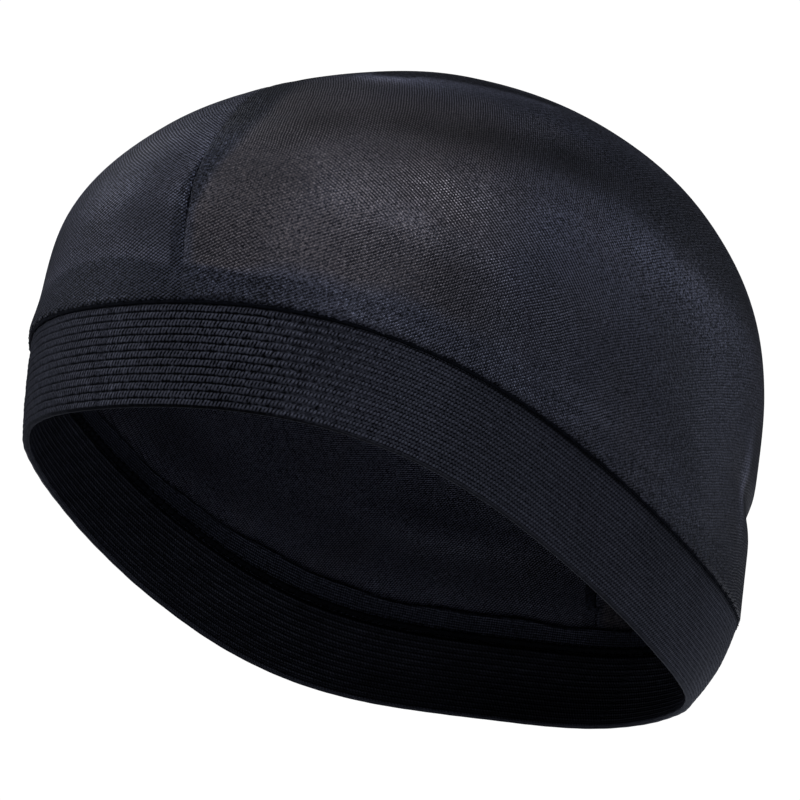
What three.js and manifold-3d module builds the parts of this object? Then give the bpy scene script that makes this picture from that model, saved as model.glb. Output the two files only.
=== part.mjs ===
// Wig cap: a stretch dome cap of satin knit on a wide ribbed elastic band, in the form it has when worn.
// Millimetres, +Z up, front towards -Y. The origin is the centre of the rim's opening.

import * as THREE from 'three';
import { mergeVertices } from 'three/addons/utils/BufferGeometryUtils.js';
import Module from 'manifold-3d';

const wasm = await Module();
wasm.setup();

// Whole cap: it sits tilted back, higher at the forehead than at the nape, and a little to one side
const TILT_DEG = 24.5;
const SIDE_TILT_DEG = 2;
const CROWN_HEIGHT = 134;
const BAND_HEIGHT = 24;
const BACK_OF_TOP = 16.5;
const DOME_FULLNESS = 0.92;

// The rim and the band's top aren't flat loops: they arch over the forehead and dip behind the ears
const ARCH = 3.1;
const DIP = 4.1;
const NAPE_DROP = 6.4;
const NAPE_SPREAD = 28;

// How much squarer than an oval the loops are at the band
const OVAL_POWER = 2;
const SQUARER_POWER = 0.1;

// Walls and clearances
const CROWN_WALL = 1.0;
const PROUD_HEM = 0.5;
const BAND_WALL = 1.8;
const GAP = 0.3;

// Ribs knitted along the band
const RIB_COUNT = 14;
const RIB_RELIEF = 0.6;
const RIB_SHOULDER = 0.25;

// Sewn edges inside the crown
const ROLL_THICKNESS = 1.6;
const ROLL_TOP_CLIMB = 1.6;
const HEM_THICKNESS = 0.8;
const HEM_START_CLIMB = 1.9;
const HEM_END_CLIMB = 5.0;
const SEAM_WIDTH = 1.4;
const SEAM_PROUD = 0.3;
const ALLOWANCE_WIDTH = 6;
const ALLOWANCE_THICKNESS = 0.7;
const ALLOWANCE_START_CLIMB = 6;

// Facets: sections around, and the dome's climb at its very top
const SIDES = 50;
const TOP = 90;
const SLOPE_STEP = 0.5;
const UPRIGHT_UNTIL = 10;
const FULLY_LEANING = 40;

// Elastic band, from the rim up: reach of the loop forwards, backwards and to each side
const BAND_LOOPS = [
  { up: 0.0, front: 102.5, back: 93.5, side: 74.5 },
  { up: 0.5, front: 105.6, back: 99.2, side: 77.3 },
  { up: 1.0, front: 108.0, back: 101.5, side: 79.0 },
];

// Crown, from the band up: climb around the dome in degrees, and the loop's reach there
const CROWN_LOOPS = [
  { climb: 0, front: 108.0, back: 101.5, side: 79.0 },
  { climb: 15, front: 111.0, back: 96.0, side: 77.2 },
  { climb: 30, front: 99.5, back: 89.0, side: 72.5 },
  { climb: 45, front: 79.7, back: 76.4, side: 61.0 },
  { climb: 60, front: 58.5, back: 56.7, side: 45.1 },
  { climb: 75, front: 33.7, back: 32.3, side: 26.0 },
  { climb: 90, front: 0.0, back: 0.0, side: 0.0 },
];

// Soft dents and swells in the crown: where each lies, how deep it is and how far it spreads
const DENTS = [
  { around: 137, climb: 12.5, depth: 1.6, spreadAround: 18, spreadClimb: 2.2 },
  { around: 222, climb: 12.5, depth: 1.2, spreadAround: 18, spreadClimb: 2.2 },
  { around: 325, climb: 0.5, depth: -0.7, spreadAround: 25, spreadClimb: 2.5 },
];

// Crown seam seen from above: off-centre at the forehead, it crosses the top and ends at the nape
const SEAM_PLAN = [
  { back: -135, side: 21 },
  { back: -105, side: 21 },
  { back: -95, side: 18 },
  { back: -85, side: 13.5 },
  { back: -72, side: 7 },
  { back: -40, side: -1.5 },
  { back: 0, side: -5 },
  { back: 50, side: -8 },
  { back: 135, side: -18 },
];
const SEAM_LEAN = 0.17;
const SEAM_STEPS = 20;
const BLOCK_REACH = 135;
const BLOCK_HEIGHT = 150;

// Climbs at which the crown's walls have a row of vertices, closer together near the hem
const CROWN_ROWS = [4, 9, 12.5, 16, 21, 28, 36, 45, 54, 63, 72, 81];
const HEM_ROUND_CLIMB = 0.5;
const HEM_ROUND = 0.3;

const materials = {
  crown: new THREE.MeshStandardMaterial({ color: 0x2c2e36, roughness: 0.45, metalness: 0 }),
  hem: new THREE.MeshStandardMaterial({ color: 0x22242c, roughness: 0.55, metalness: 0 }),
  thread: new THREE.MeshStandardMaterial({ color: 0x15161b, roughness: 0.8, metalness: 0 }),
  elastic: new THREE.MeshStandardMaterial({ color: 0x1c1d24, roughness: 0.9, metalness: 0 }),
};

// A smooth curve through one column of a table
function smoothColumn(rows, key, column, at) {
  const slope = (from, to) => (rows[to][column] - rows[from][column]) / (rows[to][key] - rows[from][key]);
  const tangent = (row) => slope(Math.max(row - 1, 0), Math.min(row + 1, rows.length - 1));
  let row = 0;
  while (row < rows.length - 2 && at > rows[row + 1][key]) row += 1;
  const width = rows[row + 1][key] - rows[row][key];
  const t = (at - rows[row][key]) / width;
  const start = (1 + 2 * t) * (1 - t) ** 2 * rows[row][column];
  const end = t * t * (3 - 2 * t) * rows[row + 1][column];
  const startPull = t * (1 - t) ** 2 * width * tangent(row);
  const endPull = t * t * (t - 1) * width * tangent(row + 1);
  return start + end + startPull + endPull;
}

// Turn between two angles around the cap, from -180 to 180 degrees
function turnBetween(from, to) {
  return THREE.MathUtils.euclideanModulo(to - from + 180, 360) - 180;
}

// How far a loop rises above a flat one
function loopLift(aroundDeg) {
  const around = THREE.MathUtils.degToRad(aroundDeg);
  const nape = Math.exp(-((turnBetween(180, aroundDeg) / NAPE_SPREAD) ** 2));
  return ARCH * Math.cos(2 * around) - DIP * Math.cos(3 * around) - NAPE_DROP * nape;
}

// Sine or cosine raised so that an oval loop turns slightly square
function squared(value, power) {
  return Math.sign(value) * Math.abs(value) ** (OVAL_POWER / power);
}

// A point of a closed loop around the head, at an angle from the forehead towards the near side
function loopPoint(reach, height, low, aroundDeg) {
  const around = THREE.MathUtils.degToRad(aroundDeg);
  const power = OVAL_POWER + SQUARER_POWER * low;
  const x = reach.side * squared(Math.sin(around), power);
  const middle = (reach.back - reach.front) / 2;
  const half = (reach.back + reach.front) / 2;
  const y = middle - half * squared(Math.cos(around), power) + BACK_OF_TOP * reach.setBack;
  return new THREE.Vector3(x, y, height + low * loopLift(aroundDeg));
}

function reachAt(rows, key, at, setBack) {
  return {
    front: smoothColumn(rows, key, 'front', at),
    back: smoothColumn(rows, key, 'back', at),
    side: smoothColumn(rows, key, 'side', at),
    setBack,
  };
}

// Outside of the band, from the rim at 0 to its top at 1
function bandOutside(up, aroundDeg) {
  return loopPoint(reachAt(BAND_LOOPS, 'up', up, 0), up * BAND_HEIGHT, 1, aroundDeg);
}

// Outside of the crown, before its dents
function crownOutside(climb, aroundDeg) {
  const sine = Math.sin(THREE.MathUtils.degToRad(climb));
  const height = BAND_HEIGHT + (CROWN_HEIGHT - BAND_HEIGHT) * sine ** DOME_FULLNESS;
  return loopPoint(reachAt(CROWN_LOOPS, 'climb', climb, sine ** 2), height, (1 - sine) ** 2, aroundDeg);
}

// Level direction straight out of a loop
function levelOutwards(outside, level, aroundDeg) {
  const along = outside(level, aroundDeg + SLOPE_STEP).sub(outside(level, aroundDeg - SLOPE_STEP));
  return new THREE.Vector3(along.y, -along.x, 0).normalize();
}

// Direction out of the dome: level near the band, turning square to the wall higher up
function domeOutwards(climb, aroundDeg) {
  if (climb === TOP) return new THREE.Vector3(0, 0, 1);
  const level = levelOutwards(crownOutside, climb, aroundDeg);
  const along = crownOutside(climb, aroundDeg + SLOPE_STEP).sub(crownOutside(climb, aroundDeg - SLOPE_STEP));
  const upwards = crownOutside(Math.min(climb + SLOPE_STEP, TOP), aroundDeg)
    .sub(crownOutside(Math.max(climb - SLOPE_STEP, 0), aroundDeg));
  const square = along.cross(upwards).normalize();
  return level.lerp(square, THREE.MathUtils.smoothstep(climb, UPRIGHT_UNTIL, FULLY_LEANING)).normalize();
}

function dentDepth(climb, aroundDeg) {
  return DENTS.reduce((sum, dent) => {
    const turn = turnBetween(dent.around, aroundDeg);
    const spread = (turn / dent.spreadAround) ** 2 + ((climb - dent.climb) / dent.spreadClimb) ** 2;
    return sum + dent.depth * Math.exp(-spread);
  }, 0);
}

// A point in the band's or the crown's wall, at a depth from the cap's outer surface
function bandPoint({ up, depth }, aroundDeg) {
  return bandOutside(up, aroundDeg).addScaledVector(levelOutwards(bandOutside, up, aroundDeg), -depth);
}

function crownPoint({ climb, depth }, aroundDeg) {
  const inwards = depth + dentDepth(climb, aroundDeg);
  return crownOutside(climb, aroundDeg).addScaledVector(domeOutwards(climb, aroundDeg), -inwards);
}

// A closed profile taken once around the head; rows at the top of the dome close to a point
function sweep(profile, pointAt) {
  const positions = [];
  const index = [];
  const rows = profile.map((place) => {
    const first = positions.length / 3;
    const closed = place.climb === TOP;
    for (let side = 0; side < (closed ? 1 : SIDES); side += 1) {
      positions.push(...pointAt(place, (360 * side) / SIDES).toArray());
    }
    return { closed, vertex: (side) => (closed ? first : first + (side % SIDES)) };
  });
  rows.forEach((row, i) => {
    const next = rows[(i + 1) % rows.length];
    if (row.closed && next.closed) return;
    for (let side = 0; side < SIDES; side += 1) {
      if (!row.closed) index.push(row.vertex(side), row.vertex(side + 1), next.vertex(side + 1));
      if (!next.closed) index.push(row.vertex(side), next.vertex(side + 1), next.vertex(side));
    }
  });
  const geometry = new THREE.BufferGeometry();
  geometry.setAttribute('position', new THREE.Float32BufferAttribute(positions, 3));
  geometry.setIndex(index);
  return geometry;
}

function toSolid(geometry) {
  const merged = geometry.clone();
  merged.deleteAttribute('normal');
  merged.deleteAttribute('uv');
  const welded = mergeVertices(merged);
  return new wasm.Manifold(new wasm.Mesh({
    numProp: 3,
    vertProperties: new Float32Array(welded.attributes.position.array),
    triVerts: new Uint32Array(welded.index.array),
  }));
}

function toGeometry(solid) {
  const mesh = solid.getMesh();
  const geometry = new THREE.BufferGeometry();
  geometry.setAttribute('position', new THREE.BufferAttribute(mesh.vertProperties, 3));
  geometry.setIndex(new THREE.BufferAttribute(mesh.triVerts, 1));
  geometry.computeVertexNormals();
  return geometry;
}

// Seam line from above, moved sideways by an offset: positive towards the near side
const seamLine = new THREE.SplineCurve(SEAM_PLAN.map(({ back, side }) => new THREE.Vector2(side, back)));

function seamLineOffset(offset) {
  const points = [];
  for (let step = 0; step <= SEAM_STEPS; step += 1) {
    const along = seamLine.getTangent(step / SEAM_STEPS);
    const sideways = new THREE.Vector2(along.y, -along.x).multiplyScalar(offset);
    points.push(seamLine.getPoint(step / SEAM_STEPS).add(sideways));
  }
  return points;
}

// A block over an outline seen from above, leaning towards the far side as it rises from the band
function leaningBlock(outline) {
  const block = new THREE.ExtrudeGeometry(new THREE.Shape(outline), { depth: BLOCK_HEIGHT, bevelEnabled: false });
  block.applyMatrix4(new THREE.Matrix4().makeShear(0, 0, 0, 0, -SEAM_LEAN, 0));
  block.translate(SEAM_LEAN * BAND_HEIGHT, 0, 0);
  return toSolid(block);
}

// The space on one side of the seam line, and the strip along it
function besideSeam(offset) {
  const far = Math.sign(offset) * BLOCK_REACH;
  const edge = seamLineOffset(offset);
  return leaningBlock([...edge, new THREE.Vector2(far, BLOCK_REACH), new THREE.Vector2(far, -BLOCK_REACH)]);
}

function alongSeam(from, to) {
  return leaningBlock([...seamLineOffset(from), ...seamLineOffset(to).reverse()]);
}

// Wall rows of the dome at one depth, upwards or downwards
function domeRows(depth, fromClimb) {
  return [...CROWN_ROWS.filter((climb) => climb > fromClimb), TOP].map((climb) => ({ climb, depth }));
}

function makeCrownWall() {
  const outside = [
    { climb: 0, depth: HEM_ROUND },
    { climb: HEM_ROUND_CLIMB, depth: 0 },
    ...domeRows(0, HEM_ROUND_CLIMB),
  ];
  const inside = [
    { climb: 0, depth: CROWN_WALL - HEM_ROUND },
    { climb: HEM_ROUND_CLIMB, depth: CROWN_WALL },
    ...domeRows(CROWN_WALL, HEM_ROUND_CLIMB),
  ];
  return toSolid(sweep([...outside, ...inside.reverse()], crownPoint));
}

function makeCrownSeam() {
  const innerDepth = CROWN_WALL + GAP + ALLOWANCE_THICKNESS;
  const ridgeOutside = [{ climb: 0, depth: -SEAM_PROUD }, ...domeRows(-SEAM_PROUD, 0)];
  const ridgeInside = [
    { climb: 0, depth: CROWN_WALL },
    ...CROWN_ROWS.filter((climb) => climb < ALLOWANCE_START_CLIMB).map((climb) => ({ climb, depth: CROWN_WALL })),
    { climb: ALLOWANCE_START_CLIMB, depth: CROWN_WALL },
    { climb: ALLOWANCE_START_CLIMB, depth: innerDepth },
    ...domeRows(innerDepth, ALLOWANCE_START_CLIMB),
  ];
  const ridge = toSolid(sweep([...ridgeOutside, ...ridgeInside.reverse()], crownPoint))
    .intersect(alongSeam(-SEAM_WIDTH / 2, SEAM_WIDTH / 2));
  const sheetStart = { climb: ALLOWANCE_START_CLIMB, depth: CROWN_WALL + GAP };
  const sheetOutside = [sheetStart, ...domeRows(sheetStart.depth, ALLOWANCE_START_CLIMB)];
  const sheetInside = sheetOutside.map(({ climb }) => ({ climb, depth: innerDepth }));
  const allowance = toSolid(sweep([...sheetOutside, ...sheetInside.reverse()], crownPoint))
    .intersect(alongSeam(0, ALLOWANCE_WIDTH));
  return ridge.add(allowance);
}

function makeCrownHem() {
  const outer = CROWN_WALL + GAP;
  const middle = (HEM_START_CLIMB + HEM_END_CLIMB) / 2;
  const climbs = [HEM_START_CLIMB, middle, HEM_END_CLIMB];
  const outside = climbs.map((climb) => ({ climb, depth: outer }));
  const inside = climbs.map((climb) => ({ climb, depth: outer + HEM_THICKNESS }));
  return sweep([...outside, ...inside.reverse()], crownPoint);
}

function makeBandSeam() {
  const outer = CROWN_WALL + GAP;
  const inner = outer + ROLL_THICKNESS;
  const bulge = ROLL_THICKNESS / 4;
  const profile = [
    { climb: 0, depth: outer + bulge },
    { climb: ROLL_TOP_CLIMB / 4, depth: outer },
    { climb: (3 * ROLL_TOP_CLIMB) / 4, depth: outer },
    { climb: ROLL_TOP_CLIMB, depth: outer + bulge },
    { climb: ROLL_TOP_CLIMB, depth: inner - bulge },
    { climb: (3 * ROLL_TOP_CLIMB) / 4, depth: inner },
    { climb: ROLL_TOP_CLIMB / 4, depth: inner },
    { climb: 0, depth: inner - bulge },
  ];
  return sweep(profile, crownPoint);
}

function makeElasticBand() {
  const crest = PROUD_HEM;
  const groove = crest + RIB_RELIEF;
  const inner = crest + BAND_WALL;
  const top = 1 - GAP / BAND_HEIGHT;
  const pitch = top / RIB_COUNT;
  const outside = [{ up: 0, depth: groove }];
  for (let rib = 0; rib < RIB_COUNT; rib += 1) {
    const foot = rib * pitch;
    outside.push({ up: foot + RIB_SHOULDER * pitch, depth: crest });
    outside.push({ up: foot + (1 - RIB_SHOULDER) * pitch, depth: crest });
    outside.push({ up: foot + pitch, depth: groove });
  }
  const inside = [top, top / 2, 0].map((up) => ({ up, depth: inner }));
  return sweep([...outside, ...inside], bandPoint);
}

const crownWall = makeCrownWall();
const panelEdge = SEAM_WIDTH / 2 + GAP;

const pieces = [
  ['crown_panel_left', toGeometry(crownWall.intersect(besideSeam(-panelEdge))), materials.crown],
  ['crown_panel_right', toGeometry(crownWall.intersect(besideSeam(panelEdge))), materials.crown],
  ['crown_seam', toGeometry(makeCrownSeam()), materials.hem],
  ['crown_hem', makeCrownHem(), materials.hem],
  ['band_seam', makeBandSeam(), materials.thread],
  ['elastic_band', makeElasticBand(), materials.elastic],
];

const cap = new THREE.Group();
for (const [name, geometry, material] of pieces) {
  const mesh = new THREE.Mesh(geometry, material);
  mesh.name = name;
  cap.add(mesh);
}
cap.rotation.set(THREE.MathUtils.degToRad(-TILT_DEG), THREE.MathUtils.degToRad(-SIDE_TILT_DEG), 0);

const wigCap = new THREE.Group();
wigCap.add(cap);

export default wigCap;
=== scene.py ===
import math

import bmesh
import bpy
import numpy as np
from mathutils import Matrix, Vector


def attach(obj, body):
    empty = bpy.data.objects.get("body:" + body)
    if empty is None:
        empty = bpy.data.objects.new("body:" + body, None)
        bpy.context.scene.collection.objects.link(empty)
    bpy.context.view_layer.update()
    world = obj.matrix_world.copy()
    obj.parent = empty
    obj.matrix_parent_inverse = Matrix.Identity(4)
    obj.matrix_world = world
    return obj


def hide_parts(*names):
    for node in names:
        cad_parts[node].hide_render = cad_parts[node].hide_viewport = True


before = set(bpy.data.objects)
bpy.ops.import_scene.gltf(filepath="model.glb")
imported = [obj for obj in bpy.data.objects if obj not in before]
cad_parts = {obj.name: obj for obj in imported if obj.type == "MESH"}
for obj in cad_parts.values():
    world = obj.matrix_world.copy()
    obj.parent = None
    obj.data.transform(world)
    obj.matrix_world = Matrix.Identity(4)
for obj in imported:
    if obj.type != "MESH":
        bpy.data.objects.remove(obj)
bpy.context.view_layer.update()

# Wig cap: a dome of two satin knit panels on a wide ribbed elastic band, in the form it has when worn.
# Sizes are in millimetres in the cap's own upright frame: the front is towards -Y, the near side +X.
# "Around" is the angle from the front towards the near side, and "climb" the angle up the dome, both
# in degrees. "Depth" is measured inwards from the outside of the dome or of the band.
MM = 0.001

# Whole cap
TILT_DEG = 24.5
SIDE_TILT_DEG = 2
CROWN_HEIGHT = 134
BAND_HEIGHT = 24
# How far back the top of the dome lies, and how full the dome is below it
BACK_OF_TOP = 16.5
DOME_FULLNESS = 0.92
# The rim's rise at front and back, its dip at the front, and its drop at the nape
ARCH = 3.1
DIP = 4.1
NAPE_DROP = 6.4
NAPE_SPREAD = 28
# How much squarer than an ellipse the rim is
SQUARER_POWER = 0.1
# Climbs between which the way into the wall turns from level to square to the dome
UPRIGHT_UNTIL = 10
FULLY_LEANING = 40
# Step in degrees for measuring slopes, and millimetres up the wall per degree of climb near the band
SLOPE_STEP = 0.5
MM_PER_CLIMB = 2.1

BAND_LOOPS = {
    "up": (0.0, 0.5, 1.0),
    "front": (102.5, 105.6, 108.0),
    "back": (93.5, 99.2, 101.5),
    "side": (74.5, 77.3, 79.0),
}
CROWN_LOOPS = {
    "climb": (0, 15, 30, 45, 60, 75, 90),
    "front": (108.0, 111.0, 99.5, 79.7, 58.5, 33.7, 0.0),
    "back": (101.5, 96.0, 89.0, 76.4, 56.7, 32.3, 0.0),
    "side": (79.0, 77.2, 72.5, 61.0, 45.1, 26.0, 0.0),
}
# A soft patch has a middle, a spread both ways in degrees, and an amount. A dent's amount is its depth.
DENTS = (
    {"around": 137, "climb": 12.5, "wide": 18, "tall": 2.2, "amount": 1.6},
    {"around": 222, "climb": 12.5, "wide": 18, "tall": 2.2, "amount": 1.2},
    {"around": 325, "climb": 0.5, "wide": 25, "tall": 2.5, "amount": -0.7},
)
# Crown seam seen from above, and how far it leans to the far side for each millimetre of height
SEAM_PLAN = {
    "back": (-135, -105, -95, -85, -72, -40, 0, 50, 135),
    "side": (21, 21, 18, 13.5, 7, -1.5, -5, -8, -18),
}
SEAM_LEAN = 0.17
SEAM_SAMPLES = 600

# Cloth and sewing
CLOTH = 0.7
HALF_GROOVE = 0.06
GROOVE_SPREAD = 0.6
SEAM_ROLL = 0.5
SEAM_ROLL_WIDTH = 0.55
HEM_ROLL = 1.0
HEM_ROLL_WIDTH = 0.6
HEM_PULL = 0.06
HEM_PULL_HEIGHT = 2.5
PUCKER = 0.12
PUCKER_WIDTH = 3.5
GATHER = 0.08
GATHER_HEIGHT = 4.0
STRIP_CLOTH = 0.6
ALLOWANCE_WIDTH = 6.0
ALLOWANCE_DEPTH = 1.3
HEM_DEPTH = 1.4
BAND_CREST = 0.5
BAND_WALL = 1.8
BAND_TOP_GAP = 0.15
RIB_COUNT = 13
RIB_RELIEF = 0.28
INNER_RELIEF = 0.2
LOOP_PITCH = 0.90
STITCH_PITCH = 2.3
ROLL_LOOP_PITCH = 1.9
ROLL_CLIMB = 0.45
ROLL_DEPTH = 2.15
HEM_LOOP_DEPTH = 1.95
THREAD_RADIUS = {
    "crease_cord": 0.5,
    "crease_bites": 0.09,
    "roll": 0.72,
    "roll_loops": 0.13,
    "hem_loops": 0.14,
    "groove_stitches": 0.22,
}


# Curves and soft steps

def smooth(table, key, column, at):
    """A smooth curve through one column of a table."""
    at = np.asarray(at, float)
    knots = np.array(table[key], float)
    values = np.array(table[column], float)
    row = np.clip(np.searchsorted(knots, at, side="left") - 1, 0, len(knots) - 2)
    before = np.maximum(row - 1, 0)
    after = np.minimum(row + 2, len(knots) - 1)
    width = knots[row + 1] - knots[row]
    t = (at - knots[row]) / width
    start_slope = (values[row + 1] - values[before]) / (knots[row + 1] - knots[before])
    end_slope = (values[after] - values[row]) / (knots[after] - knots[row])
    start = (1 + 2 * t) * (1 - t) ** 2 * values[row] + t * (1 - t) ** 2 * width * start_slope
    end = t * t * (3 - 2 * t) * values[row + 1] + t * t * (t - 1) * width * end_slope
    return start + end


def turn_between(start, end):
    """The angle from start to end, between -180 and 180 degrees."""
    return (end - start + 180) % 360 - 180


def smoothstep(low, high, value):
    """Rises softly from 0 at low to 1 at high."""
    t = np.clip((value - low) / (high - low), 0, 1)
    return t * t * (3 - 2 * t)


def plateau(start, full, fading, end, value):
    """Rises softly from 0 to 1, stays there, and falls softly back to 0."""
    return smoothstep(start, full, value) * (1 - smoothstep(fading, end, value))


def bell(distance, spread):
    """1 at no distance, falling softly: about a third is left at the spread."""
    return np.exp(-(distance / spread) ** 2)


def patch_share(patch, climb, around):
    """How much of a soft patch a place has: 1 in the patch's middle."""
    across = bell(turn_between(patch["around"], around), patch["wide"])
    return across * bell(climb - patch["climb"], patch["tall"])


def patches(rows, climb, around):
    """The amounts that several soft patches give a place, added up."""
    return sum(patch["amount"] * patch_share(patch, climb, around) for patch in rows)


# Shape of the cap

def squared(value, power):
    """A sine or cosine bent so that its loop is squarer than an ellipse."""
    return np.sign(value) * np.abs(value) ** (2 / power)


def reaches(table, key, at):
    """How far a loop reaches to the front, the back and the side."""
    return {way: smooth(table, key, way, at) for way in ("front", "back", "side")}


def loop_point(reach, set_back, height, low, around):
    """A point of a closed loop around the cap."""
    turn = np.radians(around)
    power = 2 + SQUARER_POWER * low
    nape = bell(turn_between(180, around), NAPE_SPREAD)
    lift = ARCH * np.cos(2 * turn) - DIP * np.cos(3 * turn) - NAPE_DROP * nape
    x = reach["side"] * squared(np.sin(turn), power)
    middle = (reach["back"] - reach["front"]) / 2
    half = (reach["back"] + reach["front"]) / 2
    y = middle - half * squared(np.cos(turn), power) + BACK_OF_TOP * set_back
    return np.stack(np.broadcast_arrays(x, y, height + low * lift), axis=-1)


def band_outside(up, around):
    return loop_point(reaches(BAND_LOOPS, "up", up), 0, up * BAND_HEIGHT, 1, around)


def crown_outside(climb, around):
    sine = np.sin(np.radians(np.clip(climb, 0, 90)))
    height = BAND_HEIGHT + (CROWN_HEIGHT - BAND_HEIGHT) * sine ** DOME_FULLNESS
    return loop_point(reaches(CROWN_LOOPS, "climb", climb), sine ** 2, height, (1 - sine) ** 2, around)


def unit(vectors):
    """The same directions, each one long."""
    return vectors / np.maximum(np.linalg.norm(vectors, axis=-1, keepdims=True), 1e-9)


def level_outwards(outside, level, around):
    """Level direction out of a wall, square to the loop around it."""
    along = outside(level, around + SLOPE_STEP) - outside(level, around - SLOPE_STEP)
    return unit(np.stack([along[..., 1], -along[..., 0], 0 * along[..., 2]], axis=-1))


def dome_outwards(climb, around):
    """Direction out of the dome: level near the band, square to the wall higher up."""
    climb = np.minimum(climb, 89)
    along = crown_outside(climb, around + SLOPE_STEP) - crown_outside(climb, around - SLOPE_STEP)
    upwards = crown_outside(climb + SLOPE_STEP, around)
    upwards = upwards - crown_outside(np.maximum(climb - SLOPE_STEP, 0), around)
    square = unit(np.cross(along, upwards))
    level = level_outwards(crown_outside, climb, around)
    lean = smoothstep(UPRIGHT_UNTIL, FULLY_LEANING, climb)[..., None]
    return unit(level * (1 - lean) + square * lean)


def crown_point(climb, around, depth):
    """A point of the crown at some depth inside its outside, dents included."""
    inwards = depth + patches(DENTS, climb, around)
    return crown_outside(climb, around) - dome_outwards(climb, around) * inwards[..., None]


def band_point(up, around, depth):
    """A point of the band at some depth inside its outside."""
    return band_outside(up, around) - level_outwards(band_outside, up, around) * depth[..., None]


TILT = np.array(Matrix.Rotation(math.radians(-TILT_DEG), 3, "X")
                @ Matrix.Rotation(math.radians(-SIDE_TILT_DEG), 3, "Y"))


def worn(points):
    """From the cap's upright frame in millimetres to the shared frame in metres."""
    return points @ TILT.T * MM


# The crown seam's place on the dome

def disc_place(x, y):
    """Climb and around from a place on a flat disc: the dome's top is its centre, the hem its edge."""
    return 90 * (1 - np.hypot(x, y)), np.degrees(np.arctan2(x, -y))


def seam_side(climb, around):
    """How far a point of the dome lies from the crown seam: positive towards the near side."""
    point = crown_outside(climb, around)
    lean = SEAM_LEAN * (point[..., 2] - BAND_HEIGHT)
    return point[..., 0] + lean - smooth(SEAM_PLAN, "back", "side", point[..., 1])


def between(low, high, rises):
    """Halves an interval until it holds the place where a rising value passes zero."""
    low, high = np.array(low, float), np.array(high, float)
    for _ in range(40):
        middle = (low + high) / 2
        over = rises(middle) > 0
        low, high = np.where(over, low, middle), np.where(over, middle, high)
    return (low + high) / 2


# Where the seam meets the hem, at the front and at the back
SEAM_FRONT = float(between(0, 45, lambda a: seam_side(0 * a, a)))
SEAM_BACK = float(between(170, 230, lambda a: -seam_side(0 * a, a)))


def seam_on_disc(count):
    """Evenly spaced points of the seam on the flat disc, from the front to the back."""
    ends = -np.cos(np.radians([SEAM_FRONT, SEAM_BACK]))
    y = np.linspace(ends[0], ends[1], SEAM_SAMPLES)
    half = np.sqrt(1 - y * y)
    x = between(-half, half, lambda place: seam_side(*disc_place(place, y)))
    length = np.concatenate([[0], np.cumsum(np.hypot(np.diff(x), np.diff(y)))])
    even = np.linspace(0, length[-1], count)
    return np.stack([np.interp(even, length, x), np.interp(even, length, y)], axis=-1)


# Mesh helpers

# A place well inside the cap, in the shared frame
INSIDE = Vector((0, 0.01, 0.03))
MERGE_DISTANCE = 1e-7


def cloth_grid(columns, rows, place, closed_columns=False, closed_rows=False):
    """A grid of cloth whose vertices are put where place(column share, row share) says.

    place gives points in the upright frame and a dict of named vectors that stay with them."""
    bm = bmesh.new()
    bmesh.ops.create_grid(bm, x_segments=columns, y_segments=rows, size=0.5)
    bm.verts.ensure_lookup_table()
    share = np.array([(v.co.x + 0.5, v.co.y + 0.5) for v in bm.verts])
    points, notes = place(share[:, 0], share[:, 1])
    layers = {name: bm.verts.layers.float_vector.new(name) for name in notes}
    for v, point in zip(bm.verts, worn(points).tolist()):
        v.co = point
    for name, layer in layers.items():
        for v, value in zip(bm.verts, np.asarray(notes[name], float).tolist()):
            v[layer] = value
    if closed_columns or closed_rows:
        bmesh.ops.remove_doubles(bm, verts=bm.verts, dist=MERGE_DISTANCE)
    return bm


def finish_piece(name, bm, material, nodes):
    """Makes a mesh object of a bmesh, gives it its finish and lets it ride on the cap's body."""
    mesh = bpy.data.meshes.new(name)
    bm.to_mesh(mesh)
    bm.free()
    mesh.polygons.foreach_set("use_smooth", [True] * len(mesh.polygons))
    piece = bpy.data.objects.new(name, mesh)
    bpy.context.scene.collection.objects.link(piece)
    mesh.materials.append(material)
    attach(piece, "root")
    if nodes:
        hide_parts(*nodes)
    return piece


def face_out(bm):
    """Turns a piece's faces so that they look away from the inside of the cap."""
    bm.normal_update()
    outwards = sum((f.calc_center_median() - INSIDE).normalized().dot(f.normal) for f in bm.faces)
    if outwards < 0:
        bmesh.ops.reverse_faces(bm, faces=bm.faces)


def thicken(piece, thickness):
    """Gives a sheet its thickness, inwards of the surface that was modelled."""
    wall = piece.modifiers.new("Cloth", "SOLIDIFY")
    wall.thickness = thickness * MM
    wall.offset = -1
    wall.use_even_offset = False


# Materials

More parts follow.
